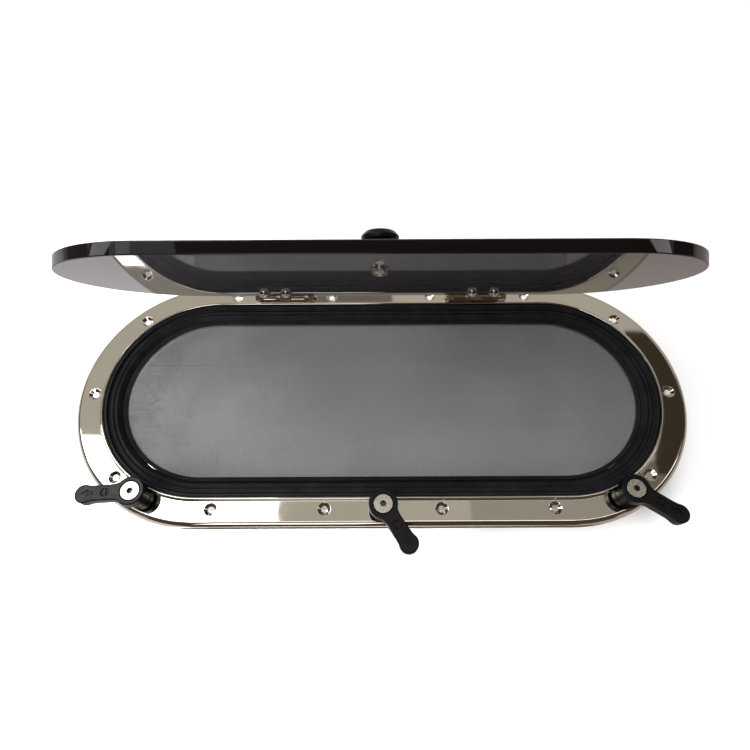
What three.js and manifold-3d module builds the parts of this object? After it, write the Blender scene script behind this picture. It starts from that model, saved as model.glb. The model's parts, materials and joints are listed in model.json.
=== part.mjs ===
// Opening porthole: a pressed stainless flange with a welded spigot and seal ledge, a hinged acrylic
// lid, a ribbed rubber seal, an insect screen, and three black dogs that swing over the lid.
//
// Millimetres, +Z up and out of the flange. The frame is a stadium: two half rings joined by straights.
// Inside this file z = 0 is the top of the flange, and x = y = 0 is the middle of the opening. The last
// lines move the whole assembly so that its origin is the middle of its bounding box's base.

import * as THREE from 'three';
import { mergeVertices } from 'three/addons/utils/BufferGeometryUtils.js';
import Module from 'manifold-3d';

const wasm = await Module();
wasm.setup();

// ---------------------------------------------------------------- driving dimensions

const GAP = 0.3;                    // play between pieces that touch
const DRILL = 1;                    // how far a drill runs past both faces
const HALF_STRAIGHT = 163.6;        // from the middle to the centre of each end's arc

const FRAME = {
  rimInner: 99,                     // radii are measured from the stadium's spine
  rimOuter: 102,
  rimTop: 2.5,
  flatEdge: 120,                    // where the flat of the flange turns down
  outer: 125.5,
  sheet: 2.5,
  flangeDepth: 6,
  spigotDepth: 38,
  ledgeInner: 80,                   // the ledge that carries the seal and the screen
  ledgeTop: -10,
  ledgeThick: 2,
};

const SCREW_HOLES = {
  pathRadius: 109.5,
  straightX: [-149.2, -50.9, 50.9, 149.2],
  endAngles: [-47.4, 0, 47.4],      // degrees from the long axis
  radius: 2.75,
  sinkRadius: 5.6,
  sinkDepth: 2,
};

const SEAL = {
  outer: 98.7,
  inner: 83.5,
  top: [                            // [radius, height], from the rim inwards over the ribs
    [98.7, 0.6],
    [97.9, 1.2],
    [96.6, 1.4],
    [95.9, 1],
    [95.5, -0.8],
    [94.2, -1.8],
    [93, -1.4],
    [91.8, -0.7],
    [90.7, -1.4],
    [89.8, -2.2],
    [88.9, -1.4],
    [87.8, -0.7],
    [86.8, -1.5],
    [85, -3.8],
    [83.5, -6],
  ],
};

const SCREEN = {
  inner: 79.6,
  outer: 83.2,
  upperTop: -4.6,
  lipTop: -6,                       // the upper frame slopes down to a thin inner lip
  upperBase: -6.6,
  clothThick: 0.6,
  clothRadius: 82.6,
};

const LID = {
  radius: 93,
  inside: -0.3,                     // height of the inner face when shut
  thick: 10,
  edgeRound: 1,
  openAngle: 64,                    // degrees from shut, as it stands at rest
  slide: -2.1,                      // how far the lid sits along its pins, within the hinges' play
};

const HINGE = {
  x: 98.8,
  y: 111.3,
  z: 6.1,
  pinRadius: 2.2,
  boreRadius: 2.5,
  earRadius: 4.8,
  knuckleRadius: 4.2,
  halfLength: 30,
  earWidth: 6,
  middleLug: 5,                     // half width
  plateThick: 2.5,
  gasketThick: 1,
  boltX: [-12.4, 8.8],              // on the left hinge; the right one mirrors it
  boltY: 76.5,
  boltHole: 2.8,
  footFront: 102.6,                 // the bar that joins the frame leaf's lugs
  footBack: 106.6,
  footCorner: 1.5,
  lugBack: 116.5,
  lugFront: 103.2,
  lugShoulder: 2.4,                 // the lugs' height over the bar
  lugArcEnd: 150,                   // degrees round the pin, where the lug's front slope starts
  leafHalf: 28,                     // half the lid leaf's width
  leafFront: 62,
  leafBack: 108.3,
  leafCorner: 3,
  padInset: 1,                      // gasket inside the lid leaf's edge
  padBack: 91,
  armPlay: 2.6,                     // between the lid leaf's arms and the frame leaf's lugs
  armArcEnd: 395,                   // degrees round the pin, where the arm's back slope starts
  pinHead: [                        // [radius, height past the pin's end]
    [3.6, 0],
    [2.4, 1.6],
    [0, 2],
  ],
};

const LID_BOLT = {
  radius: 2.5,
  past: 2.6,                        // how far the shank goes past the lid's inner face
  head: [                           // [radius, height above its seat]
    [4.7, 0],
    [4.2, 1.7],
    [2.4, 2.6],
    [0, 2.6],
  ],
};

const DOME_NUT = [                  // [radius, depth below its seat]
  [0, 4.6],
  [2.4, 4.3],
  [4.4, 2.9],
  [5.3, 1],
  [5.5, 0],
  [2.8, 0],
  [2.8, 3.2],
  [0, 3.2],
];

const DOG = {
  radius: 109.5,
  endAngle: 26.9,                   // degrees round the end arc from the front straight
  baseRadius: 10.4,
  baseFlat: 7.1,                    // the flat beside the rim, from the bolt
  baseTop: 8.6,
  baseBevel: 0.8,
  washerInner: 5.8,
  washerOuter: 9.4,
  washerBase: 8.9,
  washerTop: 9.7,
  leverBase: 10,
  leverThick: 10.5,
  leverBevel: 1.2,
  headRadius: 12.4,
  tipRadius: 8.2,
  tipReach: 38,                     // bolt to the centre of the tip's arc
  waist: 6.9,                       // half the arm's width at its narrowest
  waistReach: 20,                   // bolt to the narrowest place
  neckAngle: 50,                    // degrees on the head's arc, where the arm leaves it
  neckHandles: [10.2, 14],          // bolt to the control points of the curve into the waist
  heelAngle: 70,                    // degrees on the tip's arc, where the arm meets it
  heelHandles: [6, 3, 1.1],         // past the waist, short of the tip, and in from its side
  boltRadius: 4,
  boltHead: 8,
  boltSunk: 0.4,                    // the bolt's top below the lever's top
  boltCone: 4,                      // depth of the head's cone
  boltEdge: [0.3, 0.5],             // the head's rounded edge: across, down
  boltClear: 0.2,                   // the bolt's end above the flange's seat
  sinkDepths: [3.6, 0.9, 0.8],      // the head's seat below the lever's top, from the bore outwards
  sinkPlay: [0.6, 0.9],             // how much wider than the head the seat's edges are
  bushOuter: 5.4,
  bushShort: 5.4,                   // the bush's end below the lever's top
  boreRadius: 5.8,
  nutFlats: 13,
  nutThick: 3,
  nutTurn: 30,                      // degrees from the way the flange runs
  socket: 5,
  socketDepth: 3.6,
};

const KNOB = {
  y: -44.6,
  stud: 3,
  height: 19,
  socketDepth: 12,                  // how far the stud goes in
  outline: [                        // [radius, height above the foot]
    [8.4, 0],
    [7, 2],
    [7, 7.5],
    [12.4, 9.8],
    [14.1, 11.4],
    [14.3, 13.4],
    [11.6, 16.6],
    [6.4, 18.8],
    [0, 19.4],
  ],
  washer: 6.5,
  washerThick: 1,
  nutFlats: 10,
  nutThick: 3.2,
  studEnd: 1,                       // how far the stud shows past its nut
  studPlay: 0.5,                    // between the stud and the bottom of its socket
};

const STEPS = {                     // facets round a full turn, or to a corner or an arc
  stadium: 46,                      // 4 k + 2, so that no step falls on the straights' middle
  small: 12,
  usual: 16,
  large: 20,
  corner: 4,
  profile: 5,
  dogBase: 14,
};

const FINISH = {
  steel: { color: 0xb9b2a2, roughness: 0.12, metalness: 1 },
  satin: { color: 0xbdb6a8, roughness: 0.3, metalness: 1 },
  rubber: { color: 0x17171b, roughness: 0.75, metalness: 0 },
  plastic: { color: 0x121214, roughness: 0.35, metalness: 0 },
  acrylic: { color: 0x1c1a1d, roughness: 0.04, metalness: 0 },
  screen: { color: 0x8a8a8c, roughness: 0.8, metalness: 0 },
};

// ---------------------------------------------------------------- geometry helpers

const radians = THREE.MathUtils.degToRad;

function toSolid(geometry) {
  const bare = geometry.clone();
  bare.deleteAttribute('normal');
  bare.deleteAttribute('uv');
  const merged = mergeVertices(bare, 1e-4);
  const index = merged.getIndex().array;
  const corners = [];
  for (let i = 0; i < index.length; i += 3) {
    const [a, b, c] = index.subarray(i, i + 3);
    if (a !== b && b !== c && c !== a) corners.push(a, b, c);
  }
  const mesh = new wasm.Mesh({
    numProp: 3,
    vertProperties: new Float32Array(merged.getAttribute('position').array),
    triVerts: new Uint32Array(corners),
  });
  return new wasm.Manifold(mesh);
}

function fromSolid(solid) {
  const mesh = solid.getMesh();
  const geometry = new THREE.BufferGeometry();
  geometry.setAttribute('position', new THREE.BufferAttribute(mesh.vertProperties, 3));
  geometry.setIndex(new THREE.BufferAttribute(mesh.triVerts, 1));
  geometry.computeVertexNormals();
  return geometry;
}

function join(first, ...others) {
  const sum = others.reduce((solid, other) => solid.add(toSolid(other)), toSolid(first));
  return fromSolid(sum);
}

function welded(geometry) {
  return fromSolid(toSolid(geometry));
}

function cut(body, ...tools) {
  const rest = tools.reduce((solid, tool) => solid.subtract(toSolid(tool)), toSolid(body));
  return fromSolid(rest);
}

// A profile of [radius, height] points turned about Z.
function turned(profile, steps = STEPS.usual, start = 0) {
  const points = profile.map(([radius, height]) => new THREE.Vector2(radius, height));
  const geometry = new THREE.LatheGeometry(points, steps, start);
  return geometry.rotateX(Math.PI / 2);
}

function closed(profile) {
  return [...profile, profile[0]];
}

function tube(inner, outer, low, high, steps) {
  return turned(closed([[inner, low], [outer, low], [outer, high], [inner, high]]), steps);
}

function rod(radius, low, high, steps) {
  return turned([[0, low], [radius, low], [radius, high], [0, high]], steps);
}

// The same profile carried round the stadium: turned, then parted at the middle.
function roundStadium(profile) {
  const geometry = turned(profile, STEPS.stadium, Math.PI / STEPS.stadium);
  const position = geometry.getAttribute('position');
  for (let i = 0; i < position.count; i += 1) {
    const x = position.getX(i);
    if (Math.abs(x) > 1e-6) position.setX(i, x + Math.sign(x) * HALF_STRAIGHT);
  }
  return geometry;
}

function roundedRectangle(left, low, right, high, corner) {
  const shape = new THREE.Shape();
  shape.absarc(right - corner, low + corner, corner, -Math.PI / 2, 0);
  shape.absarc(right - corner, high - corner, corner, 0, Math.PI / 2);
  shape.absarc(left + corner, high - corner, corner, Math.PI / 2, Math.PI);
  shape.absarc(left + corner, low + corner, corner, Math.PI, 1.5 * Math.PI);
  return shape;
}

function plate(shape, low, high, bevel = 0, curveSegments = STEPS.corner) {
  const geometry = new THREE.ExtrudeGeometry(shape, {
    depth: high - low - 2 * bevel,
    curveSegments,
    bevelEnabled: bevel > 0,
    bevelThickness: bevel,
    bevelSize: bevel,
    bevelOffset: -bevel,
    bevelSegments: 1,
  });
  return geometry.translate(0, 0, low + bevel);
}

// A shape drawn in (y, z), carried from one x to another.
function alongX(shape, left, right, curveSegments = STEPS.profile) {
  const geometry = new THREE.ExtrudeGeometry(shape, {
    depth: right - left,
    curveSegments,
    bevelEnabled: false,
  });
  const turn = new THREE.Matrix4().makeBasis(
    new THREE.Vector3(0, 1, 0),
    new THREE.Vector3(0, 0, 1),
    new THREE.Vector3(1, 0, 0),
  );
  return geometry.applyMatrix4(turn).translate(left, 0, 0);
}

function hexagon(acrossFlats, low, high) {
  const radius = acrossFlats / Math.sqrt(3);
  const geometry = new THREE.CylinderGeometry(radius, radius, high - low, 6);
  return geometry.rotateX(Math.PI / 2).translate(0, 0, (low + high) / 2);
}

function piece(name, geometry, finish) {
  const material = new THREE.MeshStandardMaterial({ ...FINISH[finish], flatShading: true });
  const mesh = new THREE.Mesh(geometry, material);
  mesh.name = name;
  return mesh;
}

// ---------------------------------------------------------------- where things stand

const screwPlaces = [
  ...SCREW_HOLES.straightX.flatMap((x) => [
    [x, SCREW_HOLES.pathRadius],
    [x, -SCREW_HOLES.pathRadius],
  ]),
  ...SCREW_HOLES.endAngles.flatMap((degrees) => {
    const x = HALF_STRAIGHT + SCREW_HOLES.pathRadius * Math.cos(radians(degrees));
    const y = SCREW_HOLES.pathRadius * Math.sin(radians(degrees));
    return [[x, y], [-x, y]];
  }),
];

const endDogX = HALF_STRAIGHT + DOG.radius * Math.sin(radians(DOG.endAngle));
const endDogY = -DOG.radius * Math.cos(radians(DOG.endAngle));

// tangent: the way the flange runs there; lever: where the lever points at rest
const dogs = [
  { name: 'left', x: -endDogX, y: endDogY, tangent: -DOG.endAngle, lever: 184 },
  { name: 'centre', x: 0, y: -DOG.radius, tangent: 0, lever: -57 },
  { name: 'right', x: endDogX, y: endDogY, tangent: DOG.endAngle, lever: -34 },
];

const hinges = [
  { name: 'left', x: -HINGE.x },
  { name: 'right', x: HINGE.x },
];

function boltOffsets(x) {
  return HINGE.boltX.map((offset) => -Math.sign(x) * offset);
}

// ---------------------------------------------------------------- frame, seal and screen

// The flange with its rolled edge and the upstanding rim round the opening.
function flangeRing() {
  const f = FRAME;
  const turn = f.outer - f.flatEdge;
  const roll = (radius, degrees) => [
    f.flatEdge + radius * Math.sin(radians(degrees)),
    radius * Math.cos(radians(degrees)) - turn,
  ];
  const clockwise = [
    [f.rimInner, -f.sheet],
    [f.rimInner, f.rimTop],
    [f.rimOuter, f.rimTop],
    [f.rimOuter, 0],
    roll(turn, 0),
    roll(turn, 45),
    roll(turn, 90),
    [f.outer, -f.flangeDepth],
    [f.outer - f.sheet, -f.flangeDepth],
    roll(turn - f.sheet, 90),
    roll(turn - f.sheet, 0),
  ];
  const shell = roundStadium(closed(clockwise.reverse()));

  const h = SCREW_HOLES;
  const below = -f.sheet - DRILL;
  const sink = [
    [0, below],
    [h.radius, below],
    [h.radius, -h.sinkDepth],
    [h.sinkRadius, 0],
    [h.sinkRadius, DRILL],
    [0, DRILL],
  ];
  const screws = screwPlaces.map(([x, y]) => turned(sink, STEPS.small).translate(x, y, 0));
  const posts = dogs.map(({ x, y }) => rod(DOG.boltRadius + GAP, below, DRILL).translate(x, y, 0));
  return cut(shell, ...screws, ...posts);
}

function flatRing(inner, outer, low, high) {
  return roundStadium(closed([[inner, low], [outer, low], [outer, high], [inner, high]]));
}

function spigotSleeve() {
  return flatRing(FRAME.rimInner, FRAME.rimOuter, -FRAME.spigotDepth, -FRAME.sheet - GAP);
}

function sealLedge() {
  const low = FRAME.ledgeTop - FRAME.ledgeThick;
  return flatRing(FRAME.ledgeInner, FRAME.rimInner - GAP, low, FRAME.ledgeTop);
}

function mainSeal() {
  const base = FRAME.ledgeTop + GAP;
  return roundStadium(closed([[SEAL.inner, base], [SEAL.outer, base], ...SEAL.top]));
}

function screenFrameUpper() {
  return roundStadium(closed([
    [SCREEN.inner, SCREEN.upperBase],
    [SCREEN.outer, SCREEN.upperBase],
    [SCREEN.outer, SCREEN.upperTop],
    [SCREEN.inner, SCREEN.lipTop],
  ]));
}

function frameAndScreen() {
  const clothTop = SCREEN.upperBase - GAP;
  const clothBase = clothTop - SCREEN.clothThick;
  const cloth = [
    [0, clothBase],
    [SCREEN.clothRadius, clothBase],
    [SCREEN.clothRadius, clothTop],
    [0, clothTop],
  ];
  const lower = flatRing(SCREEN.inner, SCREEN.outer, FRAME.ledgeTop + GAP, clothBase - GAP);
  return [
    piece('flange_ring', flangeRing(), 'steel'),
    piece('spigot_sleeve', welded(spigotSleeve()), 'steel'),
    piece('seal_ledge', welded(sealLedge()), 'steel'),
    piece('main_seal', welded(mainSeal()), 'rubber'),
    piece('screen_frame_upper', screenFrameUpper(), 'plastic'),
    piece('screen_mesh', welded(roundStadium(cloth)), 'screen'),
    piece('screen_frame_lower', lower, 'plastic'),
  ];
}

// ---------------------------------------------------------------- hinges

const lidOutside = LID.inside + LID.thick;
const gasketTop = lidOutside + GAP + HINGE.gasketThick;
const leafBase = gasketTop + GAP;
const leafTop = leafBase + HINGE.plateThick;

// Welded to the flange: a bar with three lugs that hold the pin.
function frameLeaf() {
  const h = HINGE;
  const top = GAP + h.plateThick;
  const foot = roundedRectangle(-h.halfLength, h.footFront, h.halfLength, h.footBack, h.footCorner);
  const bar = plate(foot, GAP, top);
  const lug = new THREE.Shape();
  lug.moveTo(h.lugFront, GAP);
  lug.lineTo(h.lugBack, GAP);
  lug.lineTo(h.y + h.earRadius, h.z);
  lug.absarc(h.y, h.z, h.earRadius, 0, radians(h.lugArcEnd));
  lug.lineTo(h.lugFront, h.lugShoulder);
  const spans = [
    [-h.halfLength, -h.halfLength + h.earWidth],
    [-h.middleLug, h.middleLug],
    [h.halfLength - h.earWidth, h.halfLength],
  ];
  const lugs = spans.map(([left, right]) => alongX(lug, left, right));
  const bore = rod(h.boreRadius, -h.halfLength - DRILL, h.halfLength + DRILL)
    .rotateY(Math.PI / 2)
    .translate(0, h.y, h.z);
  return cut(join(bar, ...lugs), bore);
}

// Bolted to the lid: a plate with two arms that run down to the pin between the lugs.
function lidLeaf(boltX) {
  const h = HINGE;
  const outline = roundedRectangle(-h.leafHalf, h.leafFront, h.leafHalf, h.leafBack, h.leafCorner);
  const wing = plate(outline, leafBase, leafTop);
  const arm = new THREE.Shape();
  arm.moveTo(h.leafBack, leafTop);
  arm.lineTo(h.leafBack - h.leafCorner, leafTop);
  arm.lineTo(h.leafBack - h.leafCorner, leafBase);
  arm.lineTo(h.y - h.knuckleRadius, h.z + h.leafCorner);
  arm.absarc(h.y, h.z, h.knuckleRadius, Math.PI, radians(h.armArcEnd));
  const inner = h.middleLug + h.armPlay;
  const outer = h.halfLength - h.earWidth - h.armPlay;
  const arms = [[-outer, -inner], [inner, outer]].map(([left, right]) => alongX(arm, left, right));
  const bore = rod(h.boreRadius, -h.halfLength, h.halfLength).rotateY(Math.PI / 2).translate(0, h.y, h.z);
  const bolts = boltX.map((x) => (
    rod(h.boltHole, leafBase - DRILL, leafTop + DRILL, STEPS.small).translate(x, h.boltY, 0)
  ));
  return cut(join(wing, ...arms), bore, ...bolts);
}

function hingePin() {
  const end = HINGE.halfLength + GAP;
  const head = HINGE.pinHead.map(([radius, past]) => [radius, end + past]);
  const upper = [[HINGE.pinRadius, end], ...head];
  const lower = upper.map(([radius, height]) => [radius, -height]).reverse();
  return turned([...lower, ...upper]).rotateY(Math.PI / 2);
}

function lidBolt() {
  const seat = leafTop + GAP;
  const end = LID.inside - LID_BOLT.past;
  const head = LID_BOLT.head.map(([radius, height]) => [radius, seat + height]);
  return turned([[0, end], [LID_BOLT.radius, end], [LID_BOLT.radius, seat], ...head], STEPS.small);
}

function domeNut() {
  const face = LID.inside - GAP;
  return turned(DOME_NUT.map(([radius, depth]) => [radius, face - depth]), STEPS.small);
}

function hingeOnFrame({ name, x }) {
  const group = new THREE.Group();
  group.position.set(x, 0, 0);
  const pin = piece(`hinge_pin_${name}`, welded(hingePin()), 'steel');
  pin.position.set(0, HINGE.y, HINGE.z);
  group.add(piece(`hinge_frame_leaf_${name}`, frameLeaf(), 'steel'), pin);
  return group;
}

function hingeOnLid({ name, x }) {
  const boltX = boltOffsets(x);
  const group = new THREE.Group();
  group.position.set(x, 0, 0);
  const half = HINGE.leafHalf - HINGE.padInset;
  const front = HINGE.leafFront + HINGE.padInset;
  const outline = roundedRectangle(-half, front, half, HINGE.padBack, HINGE.leafCorner - HINGE.padInset);
  const pad = plate(outline, lidOutside + GAP, gasketTop);
  const holes = boltX.map((at) => (
    rod(HINGE.boltHole, lidOutside, leafBase, STEPS.small).translate(at, HINGE.boltY, 0)
  ));
  group.add(
    piece(`hinge_lid_leaf_${name}`, lidLeaf(boltX), 'steel'),
    piece(`hinge_gasket_${name}`, cut(pad, ...holes), 'rubber'),
  );
  boltX.forEach((offset, i) => {
    const bolt = piece(`lid_bolt_${name}_${i + 1}`, welded(lidBolt()), 'steel');
    const nut = piece(`dome_nut_${name}_${i + 1}`, welded(domeNut()), 'steel');
    bolt.position.set(offset, HINGE.boltY, 0);
    nut.position.set(offset, HINGE.boltY, 0);
    group.add(bolt, nut);
  });
  return group;
}

// ---------------------------------------------------------------- lid and knob

function lidPane() {
  const r = LID.radius;
  const e = LID.edgeRound;
  const slab = roundStadium([
    [0, LID.inside],
    [r - e, LID.inside],
    [r, LID.inside + e],
    [r, lidOutside - e],
    [r - e, lidOutside],
    [0, lidOutside],
  ]);
  const drill = (x, y, radius) => (
    rod(radius, LID.inside - DRILL, lidOutside + DRILL, STEPS.small).translate(x, y, 0)
  );
  const bolts = hinges.flatMap(({ x }) => (
    boltOffsets(x).map((offset) => drill(x + offset, HINGE.boltY, HINGE.boltHole))
  ));
  return cut(slab, ...bolts, drill(0, KNOB.y, KNOB.stud + GAP));
}

function knobPieces() {
  const k = KNOB;
  const foot = lidOutside + GAP;
  const bore = k.stud + GAP;
  const roof = foot + k.socketDepth;
  const cap = turned([
    [bore, foot],
    ...k.outline.map(([radius, height]) => [radius, foot + height]),
    [0, roof],
    [bore, roof],
    [bore, foot],
  ], STEPS.large);
  const washerTop = LID.inside - GAP;
  const nutTop = washerTop - k.washerThick - GAP;
  const nutBase = nutTop - k.nutThick;
  const stud = rod(k.stud, nutBase - k.studEnd, roof - k.studPlay, STEPS.small);
  const washer = tube(bore, k.washer, washerTop - k.washerThick, washerTop, STEPS.usual);
  const thread = rod(bore, nutBase - DRILL, nutTop + DRILL, STEPS.small);
  const nut = cut(hexagon(k.nutFlats, nutBase, nutTop), thread);
  const meshes = [
    piece('lid_knob', welded(cap), 'plastic'),
    piece('knob_stud', welded(stud), 'satin'),
    piece('knob_washer', welded(washer), 'satin'),
    piece('knob_nut', nut, 'satin'),
  ];
  meshes.forEach((mesh) => mesh.position.set(0, k.y, 0));
  return meshes;
}

function lid() {
  const swing = new THREE.Group();
  swing.position.set(LID.slide, HINGE.y, HINGE.z);
  swing.rotation.x = -radians(LID.openAngle);
  const shut = new THREE.Group();
  shut.position.set(0, -HINGE.y, -HINGE.z);
  shut.add(piece('lid_pane', lidPane(), 'acrylic'), ...knobPieces(), ...hinges.map(hingeOnLid));
  swing.add(shut);
  return swing;
}

// ---------------------------------------------------------------- dogs

function dogBase() {
  const d = DOG;
  const corner = Math.asin(d.baseFlat / d.baseRadius);
  const outline = new THREE.Shape();
  outline.absarc(0, 0, d.baseRadius, Math.PI - corner, 2 * Math.PI + corner);
  const block = plate(outline, GAP, d.baseTop, d.baseBevel, STEPS.dogBase);
  return cut(block, rod(d.boreRadius, -DRILL, d.baseTop + DRILL));
}

function leverOutline() {
  const d = DOG;
  const neck = radians(d.neckAngle);
  const heel = radians(d.heelAngle);
  const [nearHead, nearWaist] = d.neckHandles;
  const [pastWaist, shortOfTip, inFromTip] = d.heelHandles;
  const neckX = d.headRadius * Math.cos(neck);
  const neckY = d.headRadius * Math.sin(neck);
  const heelX = d.tipReach - d.tipRadius * Math.cos(heel);
  const heelY = d.tipRadius * Math.sin(heel);
  const bendX = heelX - shortOfTip;
  const bendY = heelY - inFromTip;
  const waistEnd = d.waistReach + pastWaist;
  const outline = new THREE.Shape();
  outline.absarc(0, 0, d.headRadius, neck, 2 * Math.PI - neck);
  outline.bezierCurveTo(nearHead, -d.waist, nearWaist, -d.waist, d.waistReach, -d.waist);
  outline.bezierCurveTo(waistEnd, -d.waist, bendX, -bendY, heelX, -heelY);
  outline.absarc(d.tipReach, 0, d.tipRadius, heel - Math.PI, Math.PI - heel);
  outline.bezierCurveTo(bendX, bendY, waistEnd, d.waist, d.waistReach, d.waist);
  outline.bezierCurveTo(nearWaist, d.waist, nearHead, d.waist, neckX, neckY);
  return outline;
}

const leverTop = DOG.leverBase + DOG.leverThick;

function lever() {
  const d = DOG;
  const [seat, lip, edge] = d.sinkDepths;
  const [lipPlay, edgePlay] = d.sinkPlay;
  const body = plate(leverOutline(), d.leverBase, leverTop, d.leverBevel, STEPS.profile);
  const sink = turned([
    [0, d.leverBase - DRILL],
    [d.boreRadius, d.leverBase - DRILL],
    [d.boreRadius, leverTop - seat],
    [d.boltHead + lipPlay, leverTop - lip],
    [d.boltHead + edgePlay, leverTop - edge],
    [d.boltHead + edgePlay, leverTop + DRILL],
    [0, leverTop + DRILL],
  ]);
  return cut(body, sink);
}

function dogBolt() {
  const d = DOG;
  const end = d.boltClear - FRAME.flangeDepth;
  const top = leverTop - d.boltSunk;
  const [across, down] = d.boltEdge;
  const body = turned([
    [0, end],
    [d.boltRadius, end],
    [d.boltRadius, top - d.boltCone],
    [d.boltHead, top - down],
    [d.boltHead - across, top],
    [0, top],
  ], STEPS.large);
  return cut(body, hexagon(d.socket, top - d.socketDepth, top + DRILL));
}

function dog({ name, x, y, tangent, lever: direction }) {
  const d = DOG;
  const group = new THREE.Group();
  group.position.set(x, y, 0);
  const block = piece(`dog_base_${name}`, dogBase(), 'plastic');
  block.rotation.z = radians(tangent);
  const arm = piece(`dog_lever_${name}`, lever(), 'plastic');
  arm.rotation.z = radians(direction);
  const bush = tube(d.boltRadius + GAP, d.bushOuter, GAP, leverTop - d.bushShort, STEPS.usual);
  const washer = tube(d.washerInner, d.washerOuter, d.washerBase, d.washerTop, STEPS.large);
  const nutTop = -FRAME.sheet - GAP;
  const nutBase = nutTop - d.nutThick;
  const thread = rod(d.boltRadius + GAP, nutBase - DRILL, nutTop + DRILL);
  const nut = piece(`dog_nut_${name}`, cut(hexagon(d.nutFlats, nutBase, nutTop), thread), 'satin');
  nut.rotation.z = radians(tangent + d.nutTurn);
  group.add(
    block,
    arm,
    piece(`dog_bolt_${name}`, dogBolt(), 'satin'),
    piece(`dog_bush_${name}`, welded(bush), 'satin'),
    piece(`dog_washer_${name}`, welded(washer), 'plastic'),
    nut,
  );
  return group;
}

// ---------------------------------------------------------------- assembly

const porthole = new THREE.Group();
porthole.add(...frameAndScreen(), lid(), ...hinges.map(hingeOnFrame), ...dogs.map(dog));

const box = new THREE.Box3().setFromObject(porthole, true);
const middle = box.getCenter(new THREE.Vector3());
porthole.position.set(0, -Math.round(middle.y * 10) / 10, -Math.round(box.min.z * 10) / 10);

export default porthole;
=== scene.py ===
# Opening porthole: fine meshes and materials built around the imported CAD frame.

import json
import math

import bmesh
import bpy
from mathutils import Matrix, Vector, noise


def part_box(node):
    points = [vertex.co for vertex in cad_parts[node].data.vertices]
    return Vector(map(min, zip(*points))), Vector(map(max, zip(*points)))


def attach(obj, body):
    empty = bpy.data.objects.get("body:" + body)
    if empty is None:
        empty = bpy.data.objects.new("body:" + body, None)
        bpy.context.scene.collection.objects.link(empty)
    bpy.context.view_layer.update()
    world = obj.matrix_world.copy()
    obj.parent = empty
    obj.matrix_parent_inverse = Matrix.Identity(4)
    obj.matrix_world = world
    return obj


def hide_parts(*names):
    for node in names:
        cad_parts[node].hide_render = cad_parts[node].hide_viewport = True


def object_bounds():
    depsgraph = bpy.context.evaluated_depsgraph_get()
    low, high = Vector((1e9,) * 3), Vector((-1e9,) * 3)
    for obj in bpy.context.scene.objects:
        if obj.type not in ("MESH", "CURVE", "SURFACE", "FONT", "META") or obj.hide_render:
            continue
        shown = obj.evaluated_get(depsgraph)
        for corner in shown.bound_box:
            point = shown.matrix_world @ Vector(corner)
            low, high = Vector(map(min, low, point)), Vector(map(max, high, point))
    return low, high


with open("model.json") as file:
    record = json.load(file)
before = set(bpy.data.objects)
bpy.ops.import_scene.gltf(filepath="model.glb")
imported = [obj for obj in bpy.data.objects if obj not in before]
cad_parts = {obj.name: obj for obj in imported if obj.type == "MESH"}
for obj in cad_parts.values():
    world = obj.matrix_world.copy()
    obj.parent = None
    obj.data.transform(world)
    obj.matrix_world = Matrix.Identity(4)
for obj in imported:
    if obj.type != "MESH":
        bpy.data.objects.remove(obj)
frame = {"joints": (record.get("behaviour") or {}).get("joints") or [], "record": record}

CAD_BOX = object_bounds()

# ------------------------------------------------------------------ where things stand
# Shapes are drawn in millimetres in "porthole coordinates": z = 0 is the top of the flange, and
# x = y = 0 is the middle of the opening. The lid is drawn shut and then swung open.

MM = 0.001
GAP = 0.3  # left between pieces that touch on the real object
RIM_TOP = 2.5

flange_low, flange_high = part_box("flange_ring")
MIDDLE = Vector(((flange_low.x + flange_high.x) / 2, (flange_low.y + flange_high.y) / 2,
                 flange_high.z - RIM_TOP * MM))
IN_PLACE = Matrix.Translation(MIDDLE) @ Matrix.Scale(MM, 4)

RECORD = frame["record"]
BODY_OF = {node: body for body, nodes in RECORD["behaviour"]["bodies"].items() for node in nodes}
SLOT_OF = {row["node"]: row["material_slot"] for row in RECORD["subparts"]}
JOINTS = {joint["name"]: joint for joint in frame["joints"]}

LID_HINGE = JOINTS["lid_hinge"]
OPEN_ANGLE = math.radians(-LID_HINGE["range_deg"][0])
LID_AXIS = Vector(LID_HINGE["pos_m"])
LID_SLIDE = -2.1  # along the hinge pins
SWUNG = (Matrix.Translation(LID_AXIS) @ Matrix.Rotation(-OPEN_ANGLE, 4, "X")
         @ Matrix.Translation(-LID_AXIS) @ IN_PLACE @ Matrix.Translation((LID_SLIDE, 0, 0)))

# ------------------------------------------------------------------ sizes, in millimetres
# A pair is where something starts and ends, along Z unless a comment says otherwise. "_X", "_Y"
# and "_Z" are places, and an "_ANGLE" is in degrees about Z.

CAD_FLANGE_OUTER = 125.5
HALF_STRAIGHT = flange_high.x / MM - CAD_FLANGE_OUTER  # from the middle to each end's centre
FLANGE_OUTER = 125.2
FLANGE_ROLL = 5.4
FLANGE_DROP = 6
SHEET = 2.5
RIM_INNER = 99
RIM_OUTER = 102
SPIGOT_END = -38
LEDGE_TOP = -10
LEDGE_THICK = 2
LEDGE_INNER = 80

SCREW_PATH = 109.5
SCREW_X = (-149.2, -50.9, 50.9, 149.2)
SCREW_ANGLES = (-47.4, 0, 47.4)  # round each end, in degrees
SCREW_RADIUS = 2.75
SINK_RADIUS = 5.6
SINK_DEPTH = 2
SINK_FLARE = 1.2

SEAL_OUTER = 98.7
SEAL_INNER = 83.5

SCREEN_INNER = 79.6
SCREEN_OUTER = 83.2
SCREEN_UPPER = (-6.6, -4.6)
SCREEN_LIP = -6.05
SCREEN_LOWER = (-9.7, -7.8)
CLOTH_HEIGHT = -7.2
CLOTH_RADIUS = 82.5
CLOTH_HELD = 1  # lies flat this far inside its frames
CLOTH_EASE = 9
CLOTH_FOLDS = (33, -15.8)  # the y of the lines where the cloth was once folded

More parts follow.
